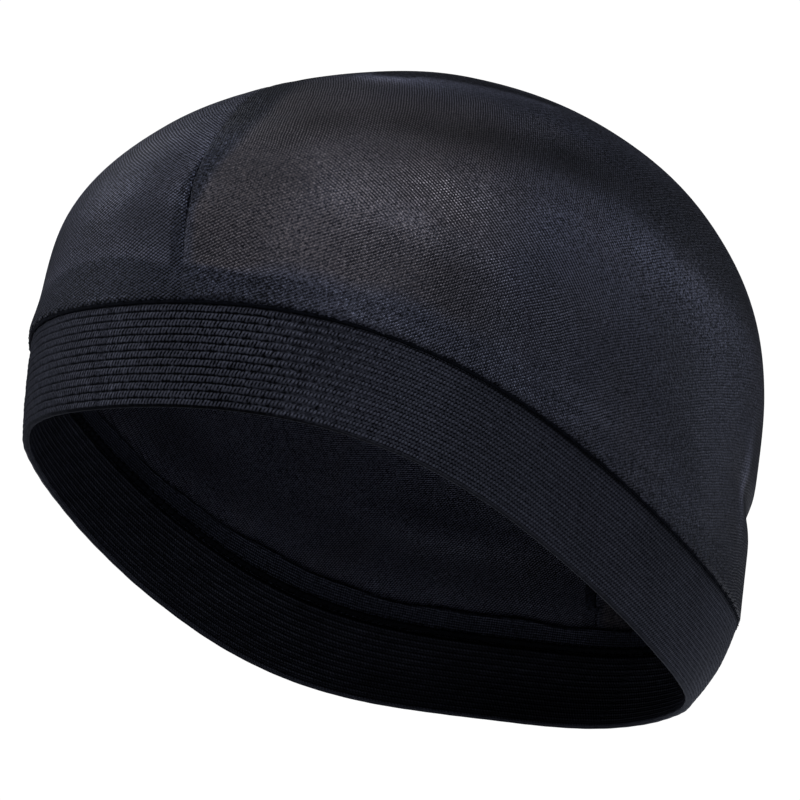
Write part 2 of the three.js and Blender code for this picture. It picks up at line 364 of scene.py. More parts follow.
class Tree:
    """Short calls for building one material's nodes."""

    def __init__(self, name):
        self.material = bpy.data.materials.new(name)
        self.material.use_nodes = True
        self.nodes = self.material.node_tree.nodes
        self.links = self.material.node_tree.links
        self.shader = self.nodes["Principled BSDF"]

    def feed(self, socket, value):
        if isinstance(value, bpy.types.NodeSocket):
            self.links.new(value, socket)
        elif socket.type == "RGBA" and len(value) == 3:
            socket.default_value = (*value, 1)
        else:
            socket.default_value = value

    def add(self, kind, *inputs, output=0, **settings):
        node = self.nodes.new("ShaderNode" + kind)
        for setting, value in settings.items():
            setattr(node, setting, value)
        for socket, value in zip(node.inputs, inputs):
            self.feed(socket, value)
        return node.outputs[output]

    def math(self, operation, *inputs):
        return self.add("Math", *inputs, operation=operation)

    def plus(self, first, second):
        return self.math("ADD", first, second)

    def minus(self, first, second):
        return self.math("SUBTRACT", first, second)

    def times(self, first, second):
        return self.math("MULTIPLY", first, second)

    def times_plus(self, value, factor, addend):
        return self.math("MULTIPLY_ADD", value, factor, addend)

    def note(self, name):
        """The three parts of a vector that stays with the piece's vertices."""
        node = self.nodes.new("ShaderNodeAttribute")
        node.attribute_name = name
        split = self.nodes.new("ShaderNodeSeparateXYZ")
        self.links.new(node.outputs["Vector"], split.inputs[0])
        return split.outputs[0], split.outputs[1], split.outputs[2]

    def here(self):
        """The place on the piece, in its Object coordinates."""
        return self.add("TexCoord", output=3)

    def noise(self, vector, scale, detail=2.0):
        node = self.nodes.new("ShaderNodeTexNoise")
        self.links.new(vector, node.inputs["Vector"])
        node.inputs["Scale"].default_value = scale
        node.inputs["Detail"].default_value = detail
        return node.outputs[0]

    def range(self, value, low, high, to_low=0.0, to_high=1.0):
        """Turns low to high into to_low to to_high, and goes no further."""
        return self.add("MapRange", value, low, high, to_low, to_high)

    def fade(self, share, at_none, at_full):
        """A number that goes from one value to another as a share grows from 0 to 1."""
        return self.range(share, 0.0, 1.0, at_none, at_full)

    def mix(self, share, first, second):
        node = self.nodes.new("ShaderNodeMix")
        for socket, value in zip((node.inputs[0], node.inputs[2], node.inputs[3]), (share, first, second)):
            self.feed(socket, value)
        return node.outputs[0]

    def blend(self, share, first, second):
        """Like mix, for colours."""
        node = self.nodes.new("ShaderNodeMix")
        node.data_type = "RGBA"
        for socket, value in zip((node.inputs[0], node.inputs[6], node.inputs[7]), (share, first, second)):
            self.feed(socket, value)
        return node.outputs[2]

    def scale_colour(self, colour, amount):
        node = self.nodes.new("ShaderNodeVectorMath")
        node.operation = "SCALE"
        self.feed(node.inputs[0], colour)
        self.feed(node.inputs["Scale"], amount)
        return node.outputs[0]

    def bump(self, height, strength, distance):
        node = self.nodes.new("ShaderNodeBump")
        node.inputs["Strength"].default_value = strength
        node.inputs["Distance"].default_value = distance
        self.links.new(height, node.inputs["Height"])
        self.links.new(node.outputs[0], self.shader.inputs["Normal"])

    def finish(self, **sockets):
        for name, value in sockets.items():
            self.feed(self.shader.inputs[name.replace("_", " ")], value)
        return self.material


# Colours of the yarns, in linear light
KNIT_BLUE = (0.0375, 0.0395, 0.0560)
KNIT_WARM = (0.0480, 0.0430, 0.0475)
KNIT_DOUBLE = (0.0168, 0.0186, 0.0280)
ELASTIC_BLACK = (0.0220, 0.0233, 0.0325)
# The elastic's groove colour is darker colour painted into the grooves between the ribs: painted shade in
# the recesses
ELASTIC_GROOVE_SHADE = (0.0110, 0.0118, 0.0170)
THREAD_BLACK = (0.0040, 0.0046, 0.0070)
# Tint of the shine where a finish is seen at a grazing angle
KNIT_EDGE = (0.84, 0.85, 0.90)
ELASTIC_EDGE = (0.76, 0.78, 0.87)
# How much of the yarn's shine takes the yarn's own colour
SATIN = 0.6
# How fine the unevenness of each finish is: the scale of its noise, per metre
KNIT_NOISE = {"wander": 110, "patch": 55, "grit": 1500, "glint": 1000, "cloud": 45, "blotch": 60}
ELASTIC_NOISE = {"wander": 120, "uneven": 1200, "glint": 1100, "cloud": 60}
THREAD_NOISE = 1500
# Height of the fine relief of the loops, the ribs and the twist, in metres
KNIT_BUMP = 0.00025
ELASTIC_BUMP = 0.00022
THREAD_BUMP = 0.0001


def wave(tree, turns):
    """A wave from -1 to 1 that peaks where the number of turns is whole."""
    return tree.math("COSINE", tree.times(turns, 2 * math.pi))


def waves(tree, parts):
    """A sum of waves: each part is how strong it is and its number of turns."""
    total = 0.0
    for weight, turns in parts:
        total = tree.times_plus(wave(tree, turns), weight, total)
    return total


def satin_knit(name, colour, warm, doubled):
    """Fine stretch knit: a slanting net of loops that catch the light, tinted where it is stretched."""
    tree = Tree(name)
    first, second, roughness = tree.note("grain")
    strengths = tree.note("strength")
    warmth, double, shade = tree.note("zones")
    here = tree.here()

    # The net: two families of lines that wander a little, and the one where they cross
    wander = tree.times_plus(tree.noise(here, KNIT_NOISE["wander"]), 1.4, -0.7)
    first = tree.plus(first, wander)
    second = tree.minus(second, wander)
    third = tree.plus(first, second)
    knit = waves(tree, zip(strengths, (first, second, third)))
    patch = tree.range(tree.noise(here, KNIT_NOISE["patch"]), 0.35, 0.65, 0.7, 1.25)
    knit = tree.times(knit, patch)

    # Uneven loops, rougher where the cloth is doubled
    grit = tree.times_plus(tree.noise(here, KNIT_NOISE["grit"], 1), 1.8, -0.9)
    rough_patch = tree.times_plus(double, 0.8, roughness)
    knit = tree.times_plus(grit, rough_patch, knit)
    loops = tree.range(knit, -0.55, 0.85)

    # Painted light and shade: light on the loops and shade in the gaps between them, painted glints as a
    # few bright specks, soft clouds, and the place's painted light and shade
    light = tree.times_plus(tree.math("POWER", loops, 1.15), 2.45, 0.16)
    glint = tree.range(tree.noise(here, KNIT_NOISE["glint"], 1), 0.65, 0.76)
    glint_power = tree.times_plus(double, 2.0, 1.4)
    light = tree.times_plus(tree.times(glint, loops), glint_power, light)
    cloud = tree.range(tree.noise(here, KNIT_NOISE["cloud"], 3), 0.3, 0.7, 0.86, 1.14)
    light = tree.times(tree.times(light, cloud), shade)

    # Colour: warm in blotches where the cloth is stretched, dark where it is doubled
    blotch = tree.times_plus(tree.noise(here, KNIT_NOISE["blotch"], 3), 0.9, -0.45)
    tint = tree.range(tree.plus(warmth, blotch), 0.0, 1.0)
    base = tree.blend(tree.times(tint, tree.range(loops, 0.15, 0.55, 0.3, 1.0)), colour, warm)
    base = tree.blend(double, base, doubled)

    tree.bump(loops, 0.6, KNIT_BUMP)
    return tree.finish(Base_Color=tree.scale_colour(base, light), Roughness=tree.fade(loops, 0.5, 0.3),
                       Metallic=tree.fade(loops, 0.78, SATIN), Specular_IOR_Level=0.2,
                       Specular_Tint=KNIT_EDGE)


def knitted_elastic(name, colour, groove):
    """Ribs of small knitted loops: bars across the ribs that turn into a net where it is less stretched."""
    tree = Tree(name)
    along, ribs, netted = tree.note("knit")
    # trim carries the band's painted edge shade; clear says how clearly the pattern shows
    trim, clear = tree.note("trim")[:2]
    here = tree.here()

    # Turns of each wave: along the ribs, across them, and slanting between the two
    wander = tree.times_plus(tree.noise(here, ELASTIC_NOISE["wander"]), 1.2, -0.6)
    rib = tree.plus(ribs, tree.times_plus(wander, 0.12, -0.5))
    half_rib = tree.times(rib, 2.0)
    slant = tree.fade(netted, -0.27, 0.36)
    bar = tree.plus(tree.times_plus(along, 1 / LOOP_PITCH, wander), tree.times(rib, slant))
    steep_bar = tree.minus(bar, rib)

    # Bars between clear grooves, and the net
    gap = tree.math("POWER", tree.times_plus(wave(tree, rib), -0.5, 0.5), 6.0)
    bars = waves(tree, ((0.10, rib), (-0.16, half_rib), (0.40, bar), (0.33, steep_bar)))
    bars = tree.times_plus(gap, -0.55, tree.plus(bars, 0.03))
    net = waves(tree, ((0.16, rib), (0.52, half_rib), (0.38, tree.minus(bar, half_rib)),
                       (0.28, steep_bar), (0.22, tree.plus(bar, rib))))
    uneven = tree.minus(tree.noise(here, ELASTIC_NOISE["uneven"]), 0.5)
    grit = tree.times(uneven, tree.fade(netted, 2.6, 1.6))
    knit = tree.times(tree.plus(tree.mix(netted, bars, net), grit), clear)
    height = tree.range(knit, -0.7, 0.85)

    # Light on the loops, with soft clouds, painted glints as a few bright specks, and painted shade at the
    # edges
    cloud = tree.range(tree.noise(here, ELASTIC_NOISE["cloud"], 3), 0.3, 0.7, 0.84, 1.16)
    light = tree.times(tree.times_plus(height, 1.9, 0.1), cloud)
    glint = tree.range(tree.noise(here, ELASTIC_NOISE["glint"], 1), 0.68, 0.8)
    light = tree.times_plus(tree.times(glint, height), 1.4, light)
    light = tree.times(light, trim)
    # The grooves between the ribs take the darker groove colour: painted shade in the recesses
    base = tree.blend(tree.times(gap, tree.fade(netted, 0.6, 0.0)), colour, groove)

    tree.bump(height, 0.6, ELASTIC_BUMP)
    return tree.finish(Base_Color=tree.scale_colour(base, light), Roughness=tree.fade(height, 0.7, 0.46),
                       Metallic=tree.fade(tree.times(height, trim), 0.95, SATIN), Specular_IOR_Level=0.2,
                       Specular_Tint=ELASTIC_EDGE)


def sewing_thread(name, colour):
    """Matte overlocked thread with a fine twist."""
    tree = Tree(name)
    twist = tree.noise(tree.here(), THREAD_NOISE)
    light = tree.range(twist, 0.3, 0.7, 0.6, 1.5)
    tree.bump(twist, 0.5, THREAD_BUMP)
    return tree.finish(Base_Color=tree.scale_colour(colour, light), Roughness=0.85, Metallic=0.8,
                       Specular_IOR_Level=0.15, Specular_Tint=ELASTIC_EDGE)


crown_knit = satin_knit("satin_knit", KNIT_BLUE, KNIT_WARM, KNIT_DOUBLE)
doubled_knit = satin_knit("doubled_satin_knit", KNIT_DOUBLE, KNIT_DOUBLE, KNIT_DOUBLE)
elastic = knitted_elastic("ribbed_elastic", ELASTIC_BLACK, ELASTIC_GROOVE_SHADE)
thread = sewing_thread("black_thread", THREAD_BLACK)


# Crown panels

PANELS = {
    "near": {"columns": 300, "rows": 150},
    "far": {"columns": 260, "rows": 130},
}
# How strongly the rows of a panel's mesh crowd together at the seam and the hem
ROW_CROWDING = 0.85
# Two families of knit lines per panel. Each family runs around an axis like circles of latitude.
GRAIN = {
    "near": (
        {"axis_turn": -117, "axis_rise": 53, "middle": (-20.5, -7.2, 31.3), "pitch": 0.659},
        {"axis_turn": 61, "axis_rise": -5, "middle": (-7.6, 4.8, 31.0), "pitch": 0.564},
    ),
    "far": (
        {"axis_turn": -62, "axis_rise": 50, "middle": (6.8, 6.0, 26.2), "pitch": 0.562},
        {"axis_turn": 70, "axis_rise": -25, "middle": (4.4, 5.2, 32.9), "pitch": 0.659},
    ),
}
# The radius at which the pitch of the knit lines is measured
CLOTH_RADIUS = 98.0
# Soft patches of painted light and shade on the crown: the amount is how much lighter the cloth is painted,
# or darker below zero
PAINTED_LIGHT_AND_SHADE_SPOTS = (
    {"around": 12.5, "climb": 21, "wide": 4, "tall": 4.5, "amount": 0.5},
    {"around": 26, "climb": 28, "wide": 6, "tall": 4.5, "amount": -0.42},
    {"around": 41, "climb": 31, "wide": 8, "tall": 5, "amount": -0.48},
    {"around": 51, "climb": 35, "wide": 8, "tall": 5, "amount": -0.48},
    {"around": 63, "climb": 38, "wide": 9, "tall": 6, "amount": -0.60},
    {"around": 58, "climb": 6, "wide": 13, "tall": 7, "amount": -0.40},
    {"around": 69, "climb": 15, "wide": 8, "tall": 4, "amount": -0.20},
    {"around": 80, "climb": 9, "wide": 13, "tall": 8, "amount": -0.30},
    {"around": 100, "climb": 10, "wide": 10, "tall": 8, "amount": -0.28},
    {"around": 122, "climb": 3, "wide": 14, "tall": 6, "amount": -0.28},
    {"around": 96, "climb": 19, "wide": 8, "tall": 5, "amount": -0.28},
    {"around": 92, "climb": 30, "wide": 13, "tall": 3.5, "amount": 0.5},
    {"around": 21, "climb": 47, "wide": 10, "tall": 3, "amount": 1.2},
)
# Small folds near the top, shaped in the cloth: the cloth past them is painted in shade, with darker
# colour, and a strip just below them is painted lighter
TOP_FOLDS = (
    {"climb": (50, 49.5, 50), "around": (13, 19, 25)},
    {"climb": (51.5, 53, 55, 59), "around": (26, 36, 44, 56)},
)
TOP_FOLD_DEPTH = 0.2
TOP_FOLD_WIDTH = 1.5
# A low swell of the cloth below the top, and a fold where the back is pinched, shaped in the cloth, with a
# painted highlight on it and painted shade just behind it
SWELL = {"around": 31, "climb": 56, "wide": 17, "tall": 6}
SWELL_HEIGHT = 0.5
PINCH_FOLD = {"around": 123.5, "climb": 14, "wide": 1.7, "tall": 5.0}
PINCH_HEIGHT = 0.35
HEM_HEIGHT = 7.0


def knit_line(points, family):
    """Which line of a family of knit lines a point lies on, counted from the family's equator."""
    turn, rise = math.radians(family["axis_turn"]), math.radians(family["axis_rise"])
    axis = np.array([math.cos(rise) * math.cos(turn), math.cos(rise) * math.sin(turn), math.sin(rise)])
    height = unit(points - np.array(family["middle"])) @ axis
    return CLOTH_RADIUS * np.arcsin(np.clip(height, -1, 1)) / family["pitch"]


def far_strength(climb):
    """How strongly the far panel's families of knit lines, and the one where they cross, show."""
    low = 1 - smoothstep(14, 22, climb)
    first = 0.45 + 0.55 * (1 - low) * (1 - smoothstep(26, 34, climb)) + 0.15 * low
    second = 0.40 + 0.42 * low
    crossing = 0.20 + 0 * climb
    return np.stack([first, second, crossing], axis=-1)


def near_strength(side, climb, around):
    """The same for the near panel: rows at its middle height, a net on the ridge, and faint at its end."""
    end = smoothstep(74, 90, around)
    low = 1 - smoothstep(10, 16, climb)
    middle = smoothstep(54, 64, side) * (1 - smoothstep(84, 96, around))
    ridge = plateau(12, 17, 26, 36, climb)
    rows_start = 18 + 6 * smoothstep(20, 42, side)
    rows = plateau(rows_start, rows_start + 6, 43, 50, climb)
    first = (0.12 + 0.12 * low + 0.10 * end * (1 - low)) * (1 - 0.1 * end) + 0.12 * middle
    second = (0.10 + 0.48 * rows) * (1 - 0.8 * end) + 0.12 * middle * low
    crossing = 0.09 + 0.05 * smoothstep(35, 50, side) + 0.29 * ridge * smoothstep(18, 45, side)
    crossing = crossing + 0.16 * ridge * smoothstep(15, 19, climb) * smoothstep(40, 55, side)
    crossing = crossing * (1 - 0.9 * end)
    fade = 1.1 - 0.35 * smoothstep(48, 56, climb)
    return np.stack([first, second, crossing], axis=-1) * fade[..., None]


def knit_grit(near, side, climb, around):
    """How uneven single loops are: more so where the cloth is slack."""
    if not near:
        return 1.1 + 0.5 * smoothstep(8, 14, climb)
    shoulder = smoothstep(18, 28, climb) * smoothstep(55, 68, side)
    by_seam = smoothstep(28, 36, climb) * (1 - smoothstep(25, 40, side))
    return 0.8 + 0.15 * smoothstep(74, 90, around) + 0.8 * shoulder + 0.5 * by_seam


def past_fold(climb, around):
    """How far past the nearest small fold near the top a point is, in millimetres up the dome."""
    past = -100 + 0 * climb
    for fold in TOP_FOLDS:
        line = np.interp(around, fold["around"], fold["climb"])
        ends = 1 - smoothstep(fold["around"][0] - 3, fold["around"][0], around)
        ends = ends + smoothstep(fold["around"][-1], fold["around"][-1] + 6, around)
        past = np.maximum(past, (climb - line) * MM_PER_CLIMB - 150 * ends)
    return past


def soft_waves(points):
    """Slow unevenness of the stretched cloth, about a third of a millimetre high."""
    x, y, z = points[..., 0], points[..., 1], points[..., 2]
    return (0.16 * np.sin(x / 11 + y / 17 + 0.6) * np.sin(z / 13 - y / 23)
            + 0.12 * np.sin(x / 7.3 - z / 9.1 + 1.9) * np.sin(y / 8.7 + z / 15))


def hem_rise(around):
    """How high the turned-up hem shows through the crown, in degrees of climb."""
    bump = 4.2 * bell(turn_between(-6, around), 15)
    uneven = 0.35 * np.sin(np.radians(around) * 9) + 0.25 * np.sin(np.radians(around) * 23 + 1)
    return (HEM_HEIGHT + bump + uneven) / MM_PER_CLIMB


def crease_shade_spread(around):
    """Where the painted shade in the crease above the band is wider and darker: along the near side."""
    return plateau(50, 80, 135, 150, turn_between(0, around))


def warm_share(side, climb, around):
    """How far the stretched, sheer cloth takes its warmer tint."""
    hem_top = hem_rise(around)
    above_hem = smoothstep(hem_top - 0.3, hem_top + 0.4 + 2.2 * smoothstep(8, 25, side), climb)
    return plateau(0.8, 3.5, 58, 84, side) * above_hem * (1 - smoothstep(32, 52, climb))


def double_share(side, climb, around):
    """How far the seam allowance and the turned-up hem show through the crown as darker strips."""
    turn = turn_between(0, around)
    near_width = np.interp(climb, (9, 13, 22, 30), (0, 3.4, 7.4, 10.2))
    near_blur = 1.0 + 0.2 * near_width
    near_side = plateau(-0.2, 0.2, near_width - near_blur, near_width + near_blur, side)
    far_width = np.interp(climb, (0, 9, 14, 18), (4.0, 3.6, 2.6, 0))
    far_side = plateau(-0.2, 0.2, far_width - 0.8, far_width + 0.8, -side)
    over_top = np.maximum(smoothstep(48, 60, climb), smoothstep(60, 90, np.abs(turn)))
    seam = (near_side * (near_width > 0) + far_side * (far_width > 0)) * (1 - 0.5 * over_top)
    hem = (1 - smoothstep(-0.4, 0.4, climb - hem_rise(around))) * (1 - 0.7 * smoothstep(22, 48, turn))
    return np.clip(seam + hem, 0, 1)


def lit_cloth(side, climb, past, pinch):
    """Painted light: how much brighter the cloth is painted on the far panel and the shoulder, with painted
    highlights on folds that catch the light.
    """
    far_top = 0.38 * smoothstep(17, 26, climb) * smoothstep(0.5, 2, -side)
    far_end = 0.25 * smoothstep(20, 45, -side) * (1 - smoothstep(26, 36, climb))
    middle = 0.12 * plateau(20, 35, 50, 66, side) * smoothstep(10, 18, climb)
    shoulder = 0.15 * smoothstep(40, 58, side) * plateau(8, 16, 26, 36, climb)
    return far_top + far_end + middle + shoulder + 0.5 * bell(past + 5, 3.5) + 2.2 * pinch


def painted_shade_and_doubled_tone(side, climb, around, double):
    """Painted shade: how much darker the cloth is painted high on the near side and low beside the seam; on
    the strips, the doubled cloth's own darker tone.
    """
    near_top = 0.42 * smoothstep(68, 80, side) * smoothstep(31, 38, climb)
    by_seam = plateau(-0.5, 0.5, 12, 30, side) * (1 - smoothstep(60, 90, np.abs(around)))
    near_low = 0.26 * by_seam * plateau(2, 5, 14, 20, climb)
    far_low = 0.28 * smoothstep(0, 6, -side) * plateau(4, 7, 9, 13, climb)
    darkening = near_top + near_low + far_low
    return darkening * (1 - 0.8 * double) + double * (0.12 + 0.16 * smoothstep(20, 28, climb))


def crown_zones(side, climb, around):
    """How warm and how doubled the crown's cloth is at a place, and how much painted light and shade it
    gets.
    """
    double = double_share(side, climb, around)
    past = past_fold(climb, around)
    # Painted shade past the small folds near the top
    fold = plateau(-1, 1.2, 3, 16, past)
    bright = lit_cloth(side, climb, past, patch_share(PINCH_FOLD, climb, around))
    darkening = painted_shade_and_doubled_tone(side, climb, around, double)
    # Painted shade just behind the pinch fold
    behind_pinch = plateau(125.5, 127.5, 129, 140, around) * plateau(9, 12, 17, 26, climb)
    # Painted light and shade: the lit and darkened cloth, and the soft patches of painted light and shade
    shade = (1 + bright - darkening) * (1 + patches(PAINTED_LIGHT_AND_SHADE_SPOTS, climb, around))
    shade = shade * (1 - 0.55 * fold) * (1 - 0.45 * behind_pinch)
    crease_shade = crease_shade_spread(around)
    # Painted shade along the crease above the band, at the foot of the crown
    shade = shade * (1 - (0.6 + 0.2 * crease_shade) * np.exp(-climb * MM_PER_CLIMB / (0.8 + 0.4 * crease_shade)))
    warmth = warm_share(side, climb, around) * (1 - double)
    # The doubled share also carries the painted shade past the top folds, which darkens the colour there
    return np.stack([warmth, np.maximum(double, 0.6 * fold), shade], axis=-1)


def rolled_edges(from_seam, climb):
    """Depth of a panel's rolled edges: the hem's, and the seam's, which is deepest just above the hem."""
    groove = 0.12 + 0.88 * plateau(4, 9, 15, 22, climb)
    roll = SEAM_ROLL * groove * bell(from_seam, SEAM_ROLL_WIDTH)
    return roll + HEM_ROLL * bell(climb * MM_PER_CLIMB, HEM_ROLL_WIDTH)


def hem_pull(climb, around):
    """How far the stitches pull the hem up unevenly, in degrees of climb."""
    uneven = 0.5 * np.sin(around * 0.9) + 0.3 * np.sin(around * 2.3 + 1) + 0.2 * np.sin(around * 5.1 + 2)
    return HEM_PULL * (1 + uneven) * np.exp(-climb * MM_PER_CLIMB / HEM_PULL_HEIGHT)


def cloth_relief(from_seam, climb, around, outside):
    """Depth of a panel's puckers beside the seam, gathers above the band, slow waves and folds."""
    pucker = PUCKER * np.sin(outside[:, 1] / 1.45 + outside[:, 2] / 1.9) * np.exp(-from_seam / PUCKER_WIDTH)
    gather = GATHER * np.sin(around * 2.9) * np.exp(-climb * MM_PER_CLIMB / GATHER_HEIGHT)
    folds = TOP_FOLD_DEPTH * bell(past_fold(climb, around), TOP_FOLD_WIDTH)
    swell = SWELL_HEIGHT * patch_share(SWELL, climb, around)
    pinch = PINCH_HEIGHT * patch_share(PINCH_FOLD, climb, around)
    return pucker + gather + soft_waves(outside) + folds - swell - pinch


def panel_bmesh(which):
    panel = PANELS[which]
    near = which == "near"
    seam = seam_on_disc(panel["columns"] + 1)
    sweep = SEAM_BACK - SEAM_FRONT if near else SEAM_BACK - SEAM_FRONT - 360
    sideways = np.array([HALF_GROOVE if near else -HALF_GROOVE, 0, 0])

    def place(column, row):
        start = seam[np.rint(column * panel["columns"]).astype(int)]
        hem = np.radians(SEAM_FRONT + sweep * column)
        end = np.stack([np.sin(hem), -np.cos(hem)], axis=-1)
        closer = row - ROW_CROWDING * np.sin(2 * math.pi * row) / (2 * math.pi)
        spot = start + (end - start) * closer[:, None]
        climb, around = disc_place(spot[:, 0], spot[:, 1])
        climb = np.clip(climb, 0, 90)
        side = seam_side(climb, around)
        from_seam = np.abs(side)
        depth = rolled_edges(from_seam, climb)
        climb = climb + hem_pull(climb, around)
        outside = crown_outside(climb, around)
        depth = depth + cloth_relief(from_seam, climb, around, outside)
        points = crown_point(climb, around, depth)
        points = points + sideways * np.exp(-from_seam / GROOVE_SPREAD)[:, None]
        first, second = (knit_line(outside, family) for family in GRAIN[which])
        return points, {
            "grain": np.stack([first, second, knit_grit(near, side, climb, around)], axis=-1),
            "strength": near_strength(side, climb, around) if near else far_strength(climb),
            "zones": crown_zones(side, climb, around),
        }

    bm = cloth_grid(panel["columns"], panel["rows"], place, closed_rows=True)
    face_out(bm)
    return bm


near_panel = finish_piece("near_panel", panel_bmesh("near"), crown_knit, ["crown_panel_right"])
far_panel = finish_piece("far_panel", panel_bmesh("far"), crown_knit, ["crown_panel_left"])
for panel in (near_panel, far_panel):
    thicken(panel, CLOTH)


# Elastic band

BAND_COLUMNS = 420
RIB_STEPS = 8
INNER_STEPS = 4
# Share of the band's height over which its lower rim is rounded, and the depths of the rounding's points
RIM_ROUND = 0.016
RIM_DEPTHS = (1.75, 1.4, 1.05)
# Millimetres along the middle of the band at each angle around it
AROUND_TABLE = np.linspace(0, 360, 721)
BAND_LENGTHS = np.concatenate([[0], np.cumsum(np.linalg.norm(
    np.diff(band_outside(np.full(len(AROUND_TABLE), 0.5), AROUND_TABLE), axis=0), axis=1))])


def length_around(column):
    """Millimetres along the band from its front, for a share of the way around."""
    return np.interp(360 * column, AROUND_TABLE, BAND_LENGTHS)


def band_profile():
    """Up, depth and rib count around the elastic's cross-section: ribs outside, shallower ribs inside."""
    top = 1 - BAND_TOP_GAP / BAND_HEIGHT
    steps = np.arange(RIB_COUNT * RIB_STEPS + 1) / RIB_STEPS
    bulge = np.sqrt(np.maximum(0, 1 - (2 * (steps % 1) - 1) ** 2))
    lowest = np.maximum(steps / RIB_COUNT, RIM_ROUND)
    outer = np.stack([lowest * top, BAND_CREST + RIB_RELIEF * (1 - bulge), steps])
    steps = np.arange(RIB_COUNT * INNER_STEPS + 1)[::-1] / INNER_STEPS
    bulge = np.sin(math.pi * (steps % 1))
    lowest = np.maximum(steps / RIB_COUNT, RIM_ROUND)
    inner = np.stack([lowest * top, BAND_CREST + BAND_WALL - INNER_RELIEF * (1 - bulge), steps])
    rim_edge = 0.15 * RIM_ROUND
    rim = np.array([[rim_edge, 0.0, rim_edge], RIM_DEPTHS, [0.0, 0.0, 0.0]])
    profile = np.concatenate([outer, inner, rim], axis=1)
    return np.concatenate([profile, profile[:, :1]], axis=1)


def band_edge_shade(up, around):
    """Painted shade on the band's edges: how much light they keep, less at the lower rim and least in the
    crease above it.
    """
    crease_shade = crease_shade_spread(around)
    rim = 1 - 0.85 * bell(up * BAND_HEIGHT, 0.4)
    top = 1 - (0.8 + 0.12 * crease_shade) * bell((1 - up) * BAND_HEIGHT, 0.8 + 0.4 * crease_shade)
    return rim * top


def clear_pattern(around):
    """How clearly the elastic's pattern shows: most at the front, towards the near side."""
    ends = 1 - smoothstep(0, 20, turn_between(-20, around)) + smoothstep(45, 85, turn_between(0, around))
    return 1 - 0.35 * np.clip(ends, 0, 1) + 0.2 * bell(turn_between(24, around), 12)


def band_bmesh():
    profile = band_profile()
    last = profile.shape[1] - 1
    deepest_groove = BAND_CREST + RIB_RELIEF

    def place(column, row):
        up, depth, rib = profile[:, np.rint(row * last).astype(int)]
        around = 360 * (column % 1)
        netted = smoothstep(16, 62, turn_between(0, around)) + smoothstep(30, 60, turn_between(around, 0))
        flatter = np.where(depth < deepest_groove + 0.01, 1 - 0.8 * netted, 1)
        depth = BAND_CREST + (depth - BAND_CREST) * flatter
        depth = depth + 0.05 * np.sin(around * 1.3 + rib * 2.1) + 0.04 * np.sin(around * 0.41 + rib)
        clear = clear_pattern(around)
        return band_point(up, around, depth), {
            "knit": np.stack([length_around(column), rib, netted], axis=-1),
            "trim": np.stack([band_edge_shade(up, around), clear, clear], axis=-1),
        }

    bm = cloth_grid(BAND_COLUMNS, last, place, closed_columns=True, closed_rows=True)
    bmesh.ops.recalc_face_normals(bm, faces=bm.faces)
    return bm


ribbed_band = finish_piece("ribbed_band", band_bmesh(), elastic, ["elastic_band"])


# Sewing inside and along the crease

HEM_COLUMNS = 400
HEM_ROWS = 10
ALLOWANCE_COLUMNS = 260
ALLOWANCE_ROWS = 6
# The climbs at which the hem starts and the allowance's ends stop
HEM_START = 0.6
ALLOWANCE_END = 5.6
# Pitch of the knit along and up the strips, and how many lines the allowance has along and across
STRIP_PITCH = (0.66, 0.6)
ALLOWANCE_LINES = (460, 10)


def strip_bmesh(columns, rows, place, closed):
    """A strip of cloth inside the cap, with its faces turned out."""
    bm = cloth_grid(columns, rows, place, closed_columns=closed)
    face_out(bm)
    return bm


def plain_knit(first, second):
    """The knit's notes for a strip whose lines run along and across it."""
    even = np.ones_like(first)
    return {
        "grain": np.stack([first, second, 0.8 * even], axis=-1),
        "strength": np.stack([0.3 * even, 0.3 * even, 0.1 * even], axis=-1),
        "zones": np.stack([0 * even, 0 * even, even], axis=-1),
    }


def hem_bmesh():
    def place(column, row):
        around = 360 * (column % 1)
        climb = HEM_START + (hem_rise(around) - 0.3 - HEM_START) * row
        flare = 0.12 * np.sin(around * 2.3) * row + 0.2 * row ** 6
        points = crown_point(climb, around, HEM_DEPTH + flare)
        along, up = length_around(column), climb * MM_PER_CLIMB
        return points, plain_knit(along / STRIP_PITCH[0], up / STRIP_PITCH[1])

    return strip_bmesh(HEM_COLUMNS, HEM_ROWS, place, True)


def allowance_bmesh():
    seam = seam_on_disc(ALLOWANCE_COLUMNS + 1)

    def place(column, row):
        spot = np.rint(column * ALLOWANCE_COLUMNS).astype(int)
        run = unit(seam[np.minimum(spot + 1, ALLOWANCE_COLUMNS)] - seam[np.maximum(spot - 1, 0)])
        across = np.stack([-run[:, 1], run[:, 0]], axis=-1)
        width = (0.15 + (ALLOWANCE_WIDTH - 0.3) * row) / (90 * MM_PER_CLIMB)
        edge = seam[spot] + across * width[:, None]
        from_top = np.hypot(edge[:, 0], edge[:, 1])
        edge = edge * (np.minimum(from_top, 1 - ALLOWANCE_END / 90) / from_top)[:, None]
        climb, around = disc_place(edge[:, 0], edge[:, 1])
        flare = 0.15 * np.sin(column * 190) * row
        points = crown_point(climb, around, ALLOWANCE_DEPTH + flare)
        return points, plain_knit(column * ALLOWANCE_LINES[0], row * ALLOWANCE_LINES[1])

    return strip_bmesh(ALLOWANCE_COLUMNS, ALLOWANCE_ROWS, place, False)


turned_hem = finish_piece("turned_hem", hem_bmesh(), doubled_knit, ["crown_hem"])
seam_allowance = finish_piece("seam_allowance", allowance_bmesh(), doubled_knit,
                              ["crown_seam"])
for strip in (turned_hem, seam_allowance):
    thicken(strip, STRIP_CLOTH)


